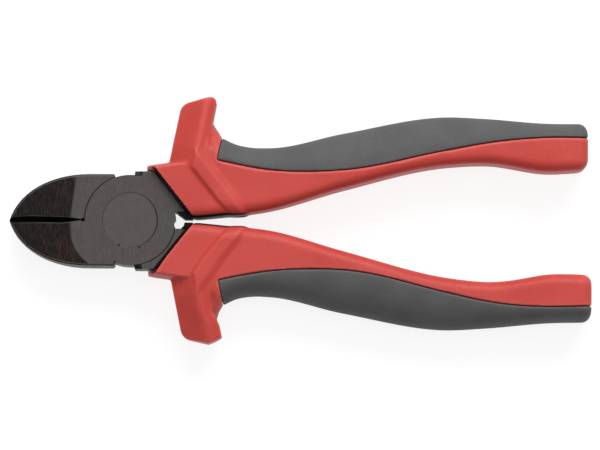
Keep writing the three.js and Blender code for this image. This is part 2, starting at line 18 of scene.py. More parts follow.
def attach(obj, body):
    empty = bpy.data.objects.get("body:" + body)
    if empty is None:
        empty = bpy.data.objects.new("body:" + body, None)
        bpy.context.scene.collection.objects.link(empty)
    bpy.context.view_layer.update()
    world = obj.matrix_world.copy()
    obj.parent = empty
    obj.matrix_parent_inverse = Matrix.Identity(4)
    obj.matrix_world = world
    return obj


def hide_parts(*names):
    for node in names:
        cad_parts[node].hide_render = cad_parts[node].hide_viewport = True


MM = 0.001
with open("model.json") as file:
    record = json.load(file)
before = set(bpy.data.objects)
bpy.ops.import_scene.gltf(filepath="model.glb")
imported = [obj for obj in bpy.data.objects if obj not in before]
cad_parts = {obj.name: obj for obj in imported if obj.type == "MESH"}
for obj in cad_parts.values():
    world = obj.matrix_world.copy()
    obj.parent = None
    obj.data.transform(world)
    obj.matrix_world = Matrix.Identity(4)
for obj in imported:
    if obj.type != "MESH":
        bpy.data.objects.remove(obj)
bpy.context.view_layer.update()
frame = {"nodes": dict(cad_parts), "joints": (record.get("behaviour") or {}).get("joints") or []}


def in_mm(corners):
    """Corners in millimetres, rounded for printing."""
    return [[round(c / MM, 2) for c in corner] for corner in corners]


# %% [markdown]
# As on a workshop drawing, the tool is drawn from its pivot: X runs along the handles and the plane between
# the two lapped discs is at zero height. Pieces are drawn in millimetres there, because numbers close to
# one suit Blender's remesh and boolean tools. Two matrices then take a piece to its place. The rear half is
# the front half turned over, so it uses the same shape with half a turn about X.

# %% Places of the two halves
pivot = Vector(frame["joints"][0]["pos_m"])
TURN_OVER = Matrix.Rotation(math.pi, 4, "X")
TO_FRONT = Matrix.Translation(pivot) @ Matrix.Scale(MM, 4)
TO_REAR = TO_FRONT @ TURN_OVER
print("pivot in mm:", in_mm([pivot]))

# %% [markdown]
# A piece starts as a bmesh, becomes an object, and often goes through modifiers. A script has no Apply
# button, so the evaluated mesh takes the place of the old one. A boolean modifier with the Manifold solver
# joins and cuts closed shapes quickly and keeps them closed.

# %% Objects, modifiers and booleans
SOLVER = "MANIFOLD"


def new_object(name, bm):
    """Makes an object from a bmesh, at the origin."""
    mesh = bpy.data.meshes.new(name)
    bm.to_mesh(mesh)
    bm.free()
    obj = bpy.data.objects.new(name, mesh)
    bpy.context.scene.collection.objects.link(obj)
    return obj


def apply_modifiers(obj):
    """Does what the editor's Apply button does for all modifiers of an object."""
    bpy.context.view_layer.update()
    graph = bpy.context.evaluated_depsgraph_get()
    finished = bpy.data.meshes.new_from_object(obj.evaluated_get(graph))
    old = obj.data
    obj.modifiers.clear()
    obj.data = finished
    bpy.data.meshes.remove(old)


def discard(obj):
    """Removes a helper object together with its mesh."""
    mesh = obj.data
    bpy.data.objects.remove(obj)
    bpy.data.meshes.remove(mesh)


def combine(body, tool, how, keep_tool=False):
    """Joins a tool to a body or cuts it away, and then removes the tool."""
    step = body.modifiers.new(how.lower(), "BOOLEAN")
    step.operation = how
    step.solver = SOLVER
    step.object = tool
    apply_modifiers(body)
    if not keep_tool:
        discard(tool)


def report(*shapes):
    """Prints how many faces each shape has."""
    for shape in shapes:
        print(shape.name, "has", len(shape.data.polygons), "faces")


print("boolean solver:", SOLVER)

# %% [markdown]
# A handle is a row of cross sections along a few flowing lines: the inner edge, the outer back, the edge of
# the grey inlay and the half thickness. Each line has a value at a few stations, joined by cubic pieces
# that meet in equal slopes, as a modeller's flexible ruler would.

# %% Flowing lines of the handle
THROAT, GUARD_FOOT, HOLLOW, RISE = 17.95, 25.0, 38.5, 58.0
SWELL, WAIST, HOOK, HEEL = 87.0, 97.0, 115.5, 126.2
FINGER_ROOT, FINGER = 28.6, 32.5
GRIP_HALF, GRIP_FULLEST, GRIP_END = 8.0, 8.5, 7.7
RIB_HALF = 9.0
BACK_AT_GUARD = 23.0
GUARD_LEAN = math.radians(11.3)
SEAM_FRONT_Y = 16.4
SEAM_FRONT = GUARD_FOOT - (BACK_AT_GUARD - SEAM_FRONT_Y) * math.tan(GUARD_LEAN)


def smooth_line(points):
    """A smooth line through a few (x, y) points, as a function of x."""
    runs = [b[0] - a[0] for a, b in zip(points, points[1:])]
    rates = [(b[1] - a[1]) / run for a, b, run in zip(points, points[1:], runs)]
    inner = [
        (rates[k] * runs[k + 1] + rates[k + 1] * runs[k]) / (runs[k] + runs[k + 1])
        for k in range(len(rates) - 1)
    ]
    slopes = [rates[0], *inner, rates[-1]]

    def line(x):
        k = max(0, min(len(runs) - 1, sum(p[0] <= x for p in points) - 1))
        t = max(0.0, min(1.0, (x - points[k][0]) / runs[k]))
        s = 1 - t
        level = points[k][1] * s * s * (1 + 2 * t) + points[k + 1][1] * t * t * (1 + 2 * s)
        return level + runs[k] * s * t * (slopes[k] * s - slopes[k + 1] * t)

    return line


inner_line = smooth_line(
    [(THROAT, 0.6), (GUARD_FOOT, 1.3), (HOLLOW, 2.8), (RISE, 8.3), (SWELL, 15.2), (WAIST, 15.9), (HOOK, 13.7),
     (HEEL, 14.3)]
)
back_line = smooth_line(
    [(GUARD_FOOT, BACK_AT_GUARD), (FINGER_ROOT, 21.3), (FINGER, 20.45), (HOLLOW, 20.3), (RISE, 24.3),
     (SWELL, 29.0), (WAIST, 28.6), (HOOK, 27.3), (HEEL, 27.3)]
)
seam_line = smooth_line(
    [(SEAM_FRONT, SEAM_FRONT_Y), (HOLLOW, 13.6), (RISE, 13.4), (SWELL, 19.3), (WAIST, 21.3), (HOOK, 23.0),
     (HEEL, 23.0)]
)
half_line = smooth_line(
    [(GUARD_FOOT, GRIP_HALF), (HOLLOW, GRIP_HALF), (RISE, GRIP_FULLEST), (SWELL, GRIP_HALF), (HEEL, GRIP_END)]
)
print("inner edge at the swell:", round(inner_line(SWELL), 2), "mm from the tool's axis")

# %% [markdown]
# One section has an oval back, flat flanks and rounded inner edges. Ahead of the guard the handle narrows
# to a collar, and behind the guard a short foot slopes down to the back. Drawn smaller all round, the same
# section gives the floor of the inlay's recess.

# %% One section of the handle
COLLAR_OUTER, COLLAR_FLARE = 14.55, 0.14
COLLAR_ROUND = 1.2
COLLAR_SLANT = math.radians(38.2)
FOOT_START = 19.0
FOOT_SLOPE = 1.56
INNER_ROUND = 3.0
BACK_STEPS = 16
ROUND_STEPS = 7


def collar_line(x):
    """Outer edge of the collar."""
    return COLLAR_OUTER + COLLAR_FLARE * x


def outer_line(x):
    """Outer edge of the handle: collar, foot behind the guard, then the back."""
    if x < FOOT_START:
        return collar_line(x)
    if x < GUARD_FOOT:
        return BACK_AT_GUARD + FOOT_SLOPE * (GUARD_FOOT - x)
    return back_line(x)


def quarter_turns(steps):
    """Angles from nothing to a right angle in even steps."""
    return [math.pi / 2 * k / steps for k in range(steps + 1)]


def section(x, shrink):
    """Points of one section, from the back over the top flank to the inner edge and round."""
    inner = inner_line(x) + shrink
    outer = outer_line(x) - shrink
    half = half_line(x) - shrink
    seam = collar_line(x) - COLLAR_ROUND if x < FOOT_START else seam_line(x)
    seam = min(seam, outer - COLLAR_ROUND)
    rounding = max(INNER_ROUND - shrink, COLLAR_ROUND)
    upper = [
        (x, seam + (outer - seam) * math.cos(turn), half * math.sin(turn))
        for turn in quarter_turns(BACK_STEPS)[1:]
    ]
    upper += [
        (x, inner + rounding * (1 - math.sin(turn)), half - rounding * (1 - math.cos(turn)))
        for turn in quarter_turns(ROUND_STEPS)
    ]
    lower = [(a, y, -z) for a, y, z in reversed(upper)]
    return [(x, outer, 0.0), *upper, *lower]


print("points in a section:", len(section(RISE, 0)))

# %% [markdown]
# The sections are joined by extruding a ring of edges from one to the next and moving its points into
# place. A curve with a bevel object could do it too, but the extruded ring gives full control of the flat
# flanks and the oval back. The heel closes with a rounding: the last sections shrink along a quarter
# circle. A slanted plane cuts the collar's front.

# %% The handle's outer form
HEEL_ROUND = 2.6
STATION_STEP = 1.2
FOOT_STEPS = 5
BEFORE_FOOT = 0.05
ON_PLANE = 1e-5


def extrude_sections(sections):
    """Extrudes the edge of a filled circle from section to section and closes the far end."""
    bm = bmesh.new()
    bmesh.ops.create_circle(bm, cap_ends=True, segments=len(sections[0]), radius=1.0)
    ring = list(bm.verts)
    for k, points in enumerate(sections):
        if k > 0:
            edges = [bm.edges.get(pair) for pair in zip(ring, ring[1:] + ring[:1])]
            made = bmesh.ops.extrude_edge_only(bm, edges=edges)["geom"]
            fresh = {part for part in made if isinstance(part, bmesh.types.BMVert)}
            ring = [next(e.other_vert(v) for e in v.link_edges if e.other_vert(v) in fresh) for v in ring]
        for vert, point in zip(ring, points):
            vert.co = point
    bm.faces.new(ring)
    bmesh.ops.recalc_face_normals(bm, faces=bm.faces)
    return bm


def handle_body(shrink):
    """The whole outer form of a handle, or the same form shrunk all round."""
    end = HEEL - shrink - HEEL_ROUND
    count = math.ceil((end - GUARD_FOOT) / STATION_STEP)
    stations = [0.0, FOOT_START / 2, FOOT_START - BEFORE_FOOT]
    stations += [FOOT_START + (GUARD_FOOT - FOOT_START) * k / FOOT_STEPS for k in range(FOOT_STEPS)]
    stations += [GUARD_FOOT + (end - GUARD_FOOT) * k / count for k in range(count + 1)]
    sections = [section(x, shrink) for x in stations]
    for turn in quarter_turns(ROUND_STEPS)[1:]:
        x = end + HEEL_ROUND * math.sin(turn)
        sections.append(section(x, shrink + HEEL_ROUND * (1 - math.cos(turn))))
    return extrude_sections(sections)


def trim(bm, point, normal):
    """Cuts a body by a plane, keeps the side that the normal points to and closes the cut."""
    cut = bmesh.ops.bisect_plane(
        bm, geom=[*bm.verts, *bm.edges, *bm.faces], plane_co=point, plane_no=normal,
        clear_inner=True, dist=ON_PLANE,
    )["geom_cut"]
    edges = [part for part in cut if isinstance(part, bmesh.types.BMEdge)]
    bmesh.ops.contextual_create(bm, geom=edges)
    bmesh.ops.recalc_face_normals(bm, faces=bm.faces)


handle = handle_body(0)
trim(handle, Vector((THROAT, 0, 0)), Vector((math.cos(COLLAR_SLANT), math.sin(COLLAR_SLANT), 0)))
grip = new_object("grip_form", handle)
report(grip)

# %% [markdown]
# The collar's outer wall reaches a little further forward than its flanks, as a curved lip at mid height
# that covers the end of the black sleeve. A thin shell of the handle form, cut to a rounded outline, makes
# it.

# %% Lip of the collar
LIP_FRONT, LIP_MIDDLE, LIP_HALF = 4.4, 9.0, 6.9
LIP_WALL = 1.5
LIP_INSIDE, LIP_OUTSIDE = 13.0, 21.0
SEGMENTS = 48


def cone(name, low, top, depth, matrix, segments=SEGMENTS):
    """A closed cone or cylinder with the radii of its two ends."""
    bm = bmesh.new()
    bmesh.ops.create_cone(
        bm, cap_ends=True, segments=segments, radius1=low, radius2=top, depth=depth, matrix=matrix
    )
    return new_object(name, bm)


def collar_lip():
    """The part of the outer wall that lies inside an upright oval, as a thin shell."""
    oval = Matrix.Diagonal((LIP_MIDDLE - LIP_FRONT, LIP_OUTSIDE - LIP_INSIDE, LIP_HALF, 1))
    place = Matrix.Translation((LIP_MIDDLE, (LIP_INSIDE + LIP_OUTSIDE) / 2, 0)) @ oval
    shell = new_object("collar_lip", handle_body(0))
    combine(shell, new_object("lip_inside", handle_body(LIP_WALL)), "DIFFERENCE")
    combine(shell, cone("lip_outline", 1, 1, 1, place @ Matrix.Rotation(math.pi / 2, 4, "X")), "INTERSECT")
    return shell


lip_form = collar_lip()
combine(grip, lip_form, "UNION", keep_tool=True)
report(lip_form)

# %% [markdown]
# The finger guard stands on the collar and leans back a little. Its front is slightly hollow and rises to a
# rounded crest that continues the rib. It is extruded upwards in a few steps, so that the crest stays
# straight. A subdivided cage would do too, but here the crest and the hollow come from the section's own
# line.

# %% Finger guard
GUARD_AT = 10.6
GUARD_WIDTH, GUARD_CREST = 9.4, 6.2
GUARD_FRONT_HEIGHT, GUARD_REAR_HEIGHT = 16.4, 20.7
GUARD_FRONT_HALF, GUARD_REAR_HALF, GUARD_END_HALF = 4.4, 7.4, 6.0
GUARD_ROOT = 6.0
GUARD_SUNK = 1.4
GUARD_BLEND = 0.75
GUARD_TAPER_FROM = 5.0
GUARD_HOLLOW = 0.4
CREST_ROUND = 1.5
CREST_SAMPLES = 9
GUARD_POINTS = 16
GUARD_BLANK = 24.0
at_guard = Matrix.Translation((GUARD_AT, collar_line(GUARD_AT), 0)) @ Matrix.Rotation(-GUARD_LEAN, 4, "Z")


def sharp_guard_half(u):
    """Half thickness of the guard with a sharp crest: hollow front, straight rear."""
    if u < GUARD_CREST:
        t = u / GUARD_CREST
        return GUARD_FRONT_HALF + (RIB_HALF - GUARD_FRONT_HALF) * t * (1 - GUARD_HOLLOW * (1 - t))
    return RIB_HALF + (GUARD_REAR_HALF - RIB_HALF) * (u - GUARD_CREST) / (GUARD_WIDTH - GUARD_CREST)


def guard_half(u):
    """Half thickness with the crest rounded, by averaging over a short window."""
    window = min(CREST_ROUND, u, GUARD_WIDTH - u)
    steps = [window * (2 * k / (CREST_SAMPLES - 1) - 1) for k in range(CREST_SAMPLES)]
    return sum(sharp_guard_half(u + step) for step in steps) / CREST_SAMPLES


def guard_section(height, drop):
    """One section of the guard, lowered by a drop."""
    widths = [GUARD_WIDTH * k / GUARD_POINTS for k in range(GUARD_POINTS + 1)]
    upper = [(u, height, guard_half(u) - drop) for u in widths]
    return upper + [(u, v, -z) for u, v, z in reversed(upper)]


taper_length = GUARD_REAR_HEIGHT - GUARD_TAPER_FROM
end_drop = (RIB_HALF - GUARD_END_HALF) * (GUARD_BLANK - GUARD_TAPER_FROM) / taper_length
guard = extrude_sections(
    [
        guard_section(-2 * GUARD_ROOT, GUARD_SUNK),
        guard_section(-GUARD_BLEND, GUARD_SUNK),
        guard_section(GUARD_BLEND, 0),
        guard_section(GUARD_TAPER_FROM, 0),
        guard_section(GUARD_BLANK, end_drop),
    ]
)
guard = new_object("guard_form", guard)
report(guard)

# %% [markdown]
# The guard is cut to its outline with a plate, as if sawn out from above. Two corners of the plate are
# bevelled in many steps, which makes them round.

# %% Outline of the guard
FRONT_CORNER, REAR_CORNER = 2.0, 2.6
CORNER_STEPS = 12


def plate(outline, half):
    """A thick plate with an outline of (x, y) points, as a bmesh."""
    bm = bmesh.new()
    face = bm.faces.new([bm.verts.new((x, y, -half)) for x, y in outline])
    raised = bmesh.ops.extrude_face_region(bm, geom=[face])["geom"]
    lifted = [part for part in raised if isinstance(part, bmesh.types.BMVert)]
    bmesh.ops.translate(bm, vec=(0, 0, 2 * half), verts=lifted)
    bmesh.ops.recalc_face_normals(bm, faces=bm.faces)
    return bm


def middle(edge):
    """The point halfway along an edge."""
    return (edge.verts[0].co + edge.verts[1].co) / 2


def bevel(bm, edges, size, segments):
    """Bevels edges and returns the new faces."""
    return bmesh.ops.bevel(
        bm, geom=edges, offset=size, offset_type="OFFSET", segments=segments, profile=0.5,
        affect="EDGES", material=-1, clamp_overlap=False,
    )["faces"]


def guard_plan():
    """A plate with the guard's outline seen from above, its two upper corners rounded."""
    rear, front = (GUARD_WIDTH, GUARD_REAR_HEIGHT), (0, GUARD_FRONT_HEIGHT)
    bm = plate([(0, -GUARD_ROOT), (GUARD_WIDTH, -GUARD_ROOT), rear, front], GUARD_WIDTH)
    for corner, size in ((rear, REAR_CORNER), (front, FRONT_CORNER)):
        spot = Vector((*corner, 0))
        bevel(bm, [min(bm.edges, key=lambda edge: (middle(edge) - spot).length)], size, CORNER_STEPS)
    return new_object("guard_plan", bm)


combine(guard, guard_plan(), "INTERSECT")
guard.data.transform(at_guard)
report(guard)

# %% [markdown]
# Behind the guard a shallow valley parts it from its foot. Two long ovals, one over each flank, will cut it
# once the guard and the handle are one body. An oval runs out softly at both ends, where a cylinder would
# not.

# %% Valley behind the guard
VALLEY_MIDDLE = Vector((10.5, 8.5, 7.9))
VALLEY_SIZE = Vector((1.3, 5.2, 1.6))
VALLEY_TILT = math.radians(23)
VALLEY_SEGMENTS, VALLEY_RINGS = 32, 24


def guard_valley(up):
    """A long oval beside the guard's rear, tilted like the foot's surface and sunk a little into it."""
    bm = bmesh.new()
    bmesh.ops.create_uvsphere(bm, u_segments=VALLEY_SEGMENTS, v_segments=VALLEY_RINGS, radius=1.0)
    bmesh.ops.scale(bm, vec=VALLEY_SIZE, verts=bm.verts)
    bmesh.ops.rotate(bm, cent=(0, 0, 0), matrix=Matrix.Rotation(-up * VALLEY_TILT, 3, "X"), verts=bm.verts)
    bmesh.ops.translate(bm, vec=VALLEY_MIDDLE * Vector((1, 1, up)), verts=bm.verts)
    bmesh.ops.transform(bm, matrix=at_guard, verts=bm.verts)
    return new_object("guard_valley", bm)


valleys = [guard_valley(up) for up in (1, -1)]
print("valleys:", len(valleys), "with a width of", 2 * VALLEY_SIZE.x, "mm")

# %% [markdown]
# A rib crosses each flank, parallel to the collar's front, and runs out on the guard's crest. Its sections
# lie across Y, so that its inner end can follow the rounded inner edge of the handle. Plane cuts along the
# guard's front make the mitre and keep the rib from coming out at the guard's far side.

# %% Rib across the flanks
RIB_AT = 30.55
RIB_FLAT, RIB_FOOT = 1.2, 3.3
RIB_RISE = 1.15
RIB_SINK = 0.9
RIB_BUMP = 0.4
RIB_END_Y = 21.0
RIB_ROUND = INNER_ROUND + 1.0
RIB_POINTS = 12
MITRE_DEPTH = 0.5


def rib_section(y, half):
    """One section of the rib at one distance from the tool's axis: a soft hump on each flank."""
    centre = RIB_AT - y * math.tan(COLLAR_SLANT)
    upper = []
    for k in range(RIB_POINTS + 1):
        off = RIB_FOOT * (2 * k / RIB_POINTS - 1)
        t = min(1.0, (RIB_FOOT - abs(off)) / (RIB_FOOT - RIB_FLAT))
        low = 1 - t * t * (3 - 2 * t)
        upper.append((centre + off / math.cos(COLLAR_SLANT), y + RIB_SINK * low, half - RIB_RISE * low))
    return upper + [(x, y, -z) for x, y, z in reversed(upper)]


rib_inner = inner_line(RIB_AT) - RIB_BUMP
rib_sections = [
    rib_section(rib_inner + RIB_ROUND * (1 - math.cos(turn)), RIB_HALF - RIB_ROUND * (1 - math.sin(turn)))
    for turn in quarter_turns(ROUND_STEPS)
]
rib = extrude_sections([*rib_sections, rib_section(RIB_END_Y, RIB_HALF)])
front_rise = (RIB_HALF - GUARD_FRONT_HALF) / GUARD_CREST
crest_foot = at_guard @ Vector((GUARD_CREST, 0, 0))
for face in (1, -1):
    roof_normal = at_guard.to_3x3() @ Vector((front_rise, 0, -face))
    trim(rib, crest_foot + Vector((0, 0, face * (RIB_HALF - MITRE_DEPTH))), roof_normal)
trim(rib, at_guard @ Vector((GUARD_CREST, GUARD_TAPER_FROM, 0)), at_guard.to_3x3() @ Vector((0, -1, 0)))
trim(rib, at_guard @ Vector((1, 0, 0)), at_guard.to_3x3() @ Vector((1, 0, 0)))
rib = new_object("rib_form", rib)
report(rib)

# %% [markdown]
# The grey inlay lies in a recess along the back of the handle. One outline along the seam cuts both pieces:
# everything outside it belongs to the inlay, less a narrow open groove. Two handle forms, shrunk by
# slightly different amounts, give the floor of the recess and the underside of the inlay.

# %% Recess and inlay
INLAY_THICKNESS = 1.6
LAYER_GAP = 0.2
GROOVE = 0.24
FRONT_GROOVE = 0.12
SEAM_STEP = 1.0
OUTSIDE = 45.0


def outside_seam(side):
    """A thick plate over everything outside the seam line, moved in (-1) or out (1) by half the groove."""
    corner = SEAM_FRONT + side * FRONT_GROOVE / 2
    lean = (OUTSIDE - SEAM_FRONT_Y) * math.tan(GUARD_LEAN)
    stations = [corner + SEAM_STEP * k for k in range(math.ceil((HEEL + OUTSIDE - corner) / SEAM_STEP))]
    outline = [(x, seam_line(x) + side * GROOVE / 2) for x in stations]
    outline += [(stations[-1], OUTSIDE), (corner + lean, OUTSIDE)]
    return new_object("outside_seam", plate(outline, OUTSIDE))


recess = outside_seam(-1)
combine(recess, new_object("recess_floor", handle_body(INLAY_THICKNESS + LAYER_GAP / 2)), "DIFFERENCE")
inlay = new_object("inlay_form", handle_body(0))
combine(inlay, new_object("inlay_underside", handle_body(INLAY_THICKNESS - LAYER_GAP / 2)), "DIFFERENCE")
combine(inlay, outside_seam(1), "INTERSECT")
combine(grip, guard, "UNION")
combine(grip, rib, "UNION")
for valley in valleys:
    combine(grip, valley, "DIFFERENCE")
combine(grip, recess, "DIFFERENCE")
report(grip, inlay)

# %% [markdown]
# Moulded plastic has no sharp edges. A voxel remesh turns each form into an even skin, and a little
# smoothing then rounds every edge and inner corner by about a voxel. Bevelling each edge would be sharper,
# but along the curved seam and the mitred rib the even skin is safer and looks more like a moulding.

# %% Softening the mouldings
VOXEL = 0.32
RELAX = 0.5
GRIP_ROUNDS, INLAY_ROUNDS = 8, 4


def soften(obj, rounds):
    """Remeshes a form into an even skin and smooths it."""
    skin = obj.modifiers.new("even skin", "REMESH")
    skin.mode = "VOXEL"
    skin.voxel_size = VOXEL
    relax = obj.modifiers.new("soft edges", "SMOOTH")
    relax.factor = RELAX
    relax.iterations = rounds
    apply_modifiers(obj)
    obj.data.shade_smooth()


soften(grip, GRIP_ROUNDS)
soften(inlay, INLAY_ROUNDS)
report(grip, inlay)

# %% [markdown]
# The finishes paint a highlight on the edges of a moulding and paint shade into its corners. So each point
# gets a value that says how far it stands out from its neighbours, and the finishes read it later. A
# pointiness node knows the same, but only in one render engine.

# %% Edges and corners of the mouldings
CREST_PASSES = 4


def rows(items, name):
    """A vector of each item of a mesh, as rows of an array."""
    values = np.empty(3 * len(items))
    items.foreach_get(name, values)
    return values.reshape(-1, 3)


def store(mesh, name, values):
    """Keeps a value for each point in the mesh."""
    mesh.attributes.new(name, "FLOAT", "POINT").data.foreach_set("value", values)


def mark_edges(obj):
    """Stores how far each point stands out from its neighbours, positive on edges and negative in corners."""
    mesh = obj.data
    places, normals = rows(mesh.vertices, "co"), rows(mesh.vertices, "normal")
    ends = np.empty(2 * len(mesh.edges), dtype=int)
    mesh.edges.foreach_get("vertices", ends)
    first, second = ends.reshape(-1, 2).T
    count = len(places)
    links = np.bincount(first, minlength=count) + np.bincount(second, minlength=count)
    away = places[first] - places[second]
    away /= np.linalg.norm(away, axis=1, keepdims=True)
    rise = np.bincount(first, (normals[first] * away).sum(1), count)
    rise -= np.bincount(second, (normals[second] * away).sum(1), count)
    rise /= links
    for _ in range(CREST_PASSES):
        around = np.bincount(first, rise[second], count) + np.bincount(second, rise[first], count)
        rise = (rise + around / links) / 2
    store(mesh, "stands_out", rise)
    print(obj.name, "stands out between", rise.min().round(3), "and", rise.max().round(3))


mark_edges(grip)
mark_edges(inlay)

# %% [markdown]
# Near the throat the inner wall of each handle is coloured black, and the black runs out towards the rib. It
# is a mark on the moulding's points and not a body of its own.

# %% Black band along the inner wall
THROAT_BLACK_END, THROAT_BLACK_FADE = 33.0, 8.0
THROAT_BLACK_DEPTH, THROAT_BLACK_HALF = 1.1, 7.0
THROAT_BLACK_SOFT = 0.5
LINE_SAMPLES = 250


def along(line, x):
    """Values of a flowing line at many places."""
    stations = np.linspace(0, HEEL, LINE_SAMPLES)
    return np.interp(x, stations, [line(station) for station in stations])


def mark_lining(obj):
    """Marks the points of the inner wall near the throat."""
    x, y, z = rows(obj.data.vertices, "co").T
    depth = y - along(inner_line, x)
    share = np.clip((THROAT_BLACK_END - x) / THROAT_BLACK_FADE, 0, 1)
    deep = np.clip((THROAT_BLACK_DEPTH * share - depth) / THROAT_BLACK_SOFT, 0, 1)
    level = np.clip((THROAT_BLACK_HALF - np.abs(z)) / THROAT_BLACK_SOFT, 0, 1)
    black_share = deep * level * (x < THROAT_BLACK_END)
    store(obj.data, "lining", black_share)
    print("lined points:", round(black_share.sum()))


mark_lining(grip)

# %% [markdown]
# The steel halves start from the exact packed shapes, because the lap joint has to run and the jaws have to
# meet. Modelling them anew would risk a joint that no longer fits. A merged copy of each solid gets its
# flat faces back. The cutting edges are brought together, because closed jaws let no light through.

# %% Steel halves
FLATNESS = math.radians(0.5)
SAME_POINT = 0.03
CUTTING_EDGE_END = -13.45
NEAR_MIDDLE, CLOSED_GAP = 0.06, 0.012


def merged_copy(node, name):
    """A closed copy of a packed solid in millimetres from the pivot, with its flat faces made whole."""
    bm = bmesh.new()
    bm.from_mesh(frame["nodes"][node].data)
    bmesh.ops.transform(bm, matrix=TO_FRONT.inverted(), verts=bm.verts)
    bmesh.ops.remove_doubles(bm, verts=bm.verts, dist=SAME_POINT)
    bmesh.ops.dissolve_limit(bm, angle_limit=FLATNESS, verts=bm.verts, edges=bm.edges)
    return new_object(name, bm)


def close_edge(obj):
    """Brings the cutting edge up to the middle."""
    for vert in obj.data.vertices:
        if vert.co.x < CUTTING_EDGE_END and abs(vert.co.y) < NEAR_MIDDLE:
            vert.co.y = math.copysign(CLOSED_GAP, vert.co.y)


levers = {}
for side in ("front", "rear"):
    levers[side] = merged_copy(side + "_lever", side + "_lever_steel")
    close_edge(levers[side])
report(*levers.values())

# %% [markdown]
# Forged and ground steel catches light along every edge. The jaws have a small chamfer along their outer
# walls, and the other sharp edges get a fine bevel. A bevel modifier would blunt the cutting edges too. The
# new faces are marked, and so are those that the grinding wheel can touch: one finish can then paint
# highlights on the edges and dark reflections on the ground faces, and show plain flats.

# %% Edges of the steel
SHARP = math.radians(24)
SHORTEST = 0.1
UPRIGHT, LEVEL = 0.35, 0.9
STEEL_EDGE, JAW_CHAMFER = 0.09, 0.4
DISC_REACH = 12.7
GRIND_END, GRIND_FROM = -15.9, -15.0
STEP_REACH = 0.15
CUTTING_EDGE_HALF, KEEN_HALF = 1.3, 0.325


@contextmanager
def editing(obj):
    """Opens an object's mesh as a bmesh and writes it back afterwards."""
    bm = bmesh.new()
    bm.from_mesh(obj.data)
    yield bm
    bm.to_mesh(obj.data)
    bm.free()


def on_step(edge):
    """Whether an edge belongs to the low step where the grinding ends."""
    return all(abs(vert.co.x - GRIND_END) < STEP_REACH for vert in edge.verts)


def jaw_rim(edge):
    """Whether an edge lies between a face of a jaw and its outer wall."""
    spot = middle(edge)
    outside = spot.x < 0 and spot.xy.length > DISC_REACH and abs(spot.y) > CUTTING_EDGE_HALF
    tilts = sorted(abs(face.normal.z) for face in edge.link_faces)
    return outside and not on_step(edge) and len(tilts) == 2 and tilts[0] < UPRIGHT and tilts[1] > LEVEL


def takes_bevel(edge):
    """Whether an edge is sharp, and neither a cutting edge nor the low step where the grinding ends."""
    if not edge.is_manifold or edge.calc_face_angle() < SHARP or edge.calc_length() < SHORTEST:
        return False
    spot = middle(edge)
    keen = spot.x < CUTTING_EDGE_END and abs(spot.y) < KEEN_HALF
    return not keen and not on_step(edge)


def bevel_edges(obj, size):
    """Bevels the sharp edges and marks the new faces and those that the grinding wheel can touch."""
    with editing(obj) as bm:
        strip = bm.faces.layers.float.new("edge_strip")
        ground = bm.faces.layers.float.new("ground")
        made = bevel(bm, [edge for edge in bm.edges if takes_bevel(edge)], size, segments=2)
        for face in made:
            face[strip] = 1.0
        for face in bm.faces:
            upright = abs(face.normal.z) < UPRIGHT and abs(face.calc_center_median().y) > CUTTING_EDGE_HALF
            if min(vert.co.x for vert in face.verts) < GRIND_FROM and not upright:
                face[ground] = 1.0
        print(obj.name, "has", len(made), "bevel faces")


for lever in levers.values():
    with editing(lever) as bm:
        bevel(bm, [edge for edge in bm.edges if jaw_rim(edge)], JAW_CHAMFER, segments=1)
    bevel_edges(lever, STEEL_EDGE)

# %% [markdown]
# The rivet is turned, so it is spun: half of its outline goes once round the axis. Its two heads are ground
# flush with the cheeks and keep only a hairline round the rim.

# %% Rivet
HEAD_HALF = 5.2
HEAD_RADIUS, HEAD_DEPTH, SHANK_RADIUS = 7.53, 2.0, 4.75
RIM_CHAMFER = 0.03
SPIN_STEPS = 120
SPIN_MERGE = 1e-4
bm = bmesh.new()
half = [
    (0, HEAD_HALF), (HEAD_RADIUS - RIM_CHAMFER, HEAD_HALF), (HEAD_RADIUS, HEAD_HALF - RIM_CHAMFER),
    (HEAD_RADIUS, HEAD_HALF - HEAD_DEPTH), (SHANK_RADIUS, HEAD_HALF - HEAD_DEPTH),
]
outline = half + [(r, -z) for r, z in reversed(half)]
points = [bm.verts.new((r, 0, z)) for r, z in outline]
edges = [bm.edges.new(pair) for pair in zip(points, points[1:])]
bmesh.ops.spin(
    bm, geom=points + edges, cent=(0, 0, 0), axis=(0, 0, 1), angle=2 * math.pi, steps=SPIN_STEPS,
    use_merge=True,
)
bmesh.ops.remove_doubles(bm, verts=bm.verts, dist=SPIN_MERGE)
bmesh.ops.recalc_face_normals(bm, faces=bm.faces)
rivet = new_object("pivot_rivet_turned", bm)
report(rivet)

# %% [markdown]
# Two small punch marks lock the rivet on the side that is seen. One lies on its rim, so both are cut from
# the rivet and from the half below it. Each shoulder has a rough hollow left by the forging at its front
# corner, cut with a squashed sphere. The relief hole where the cutting edges end is blind, so a plug closes
# it far down. All this comes after the bevels, which need clean edges.

# %% Punch marks and forging hollows
MARK_SPOTS = [(-3.0, -6.95), (2.45, -7.5)]
MARK_RADIUS, MARK_TIP, MARK_DEPTH = 0.3, 0.05, 0.35
MARK_SEGMENTS, RELIEF_SEGMENTS = 16, 24
SHOULDER_SPOT = Vector((1.9, 13.5, HEAD_HALF + 0.25))
HOLLOW_SIZE = Vector((1.6, 1.3, 0.9))
LUMPS = 0.09
RELIEF_AT, RELIEF_RADIUS = -12.87, 0.46
FLOOR_LOW, FLOOR_TOP = -3.5, -1.5


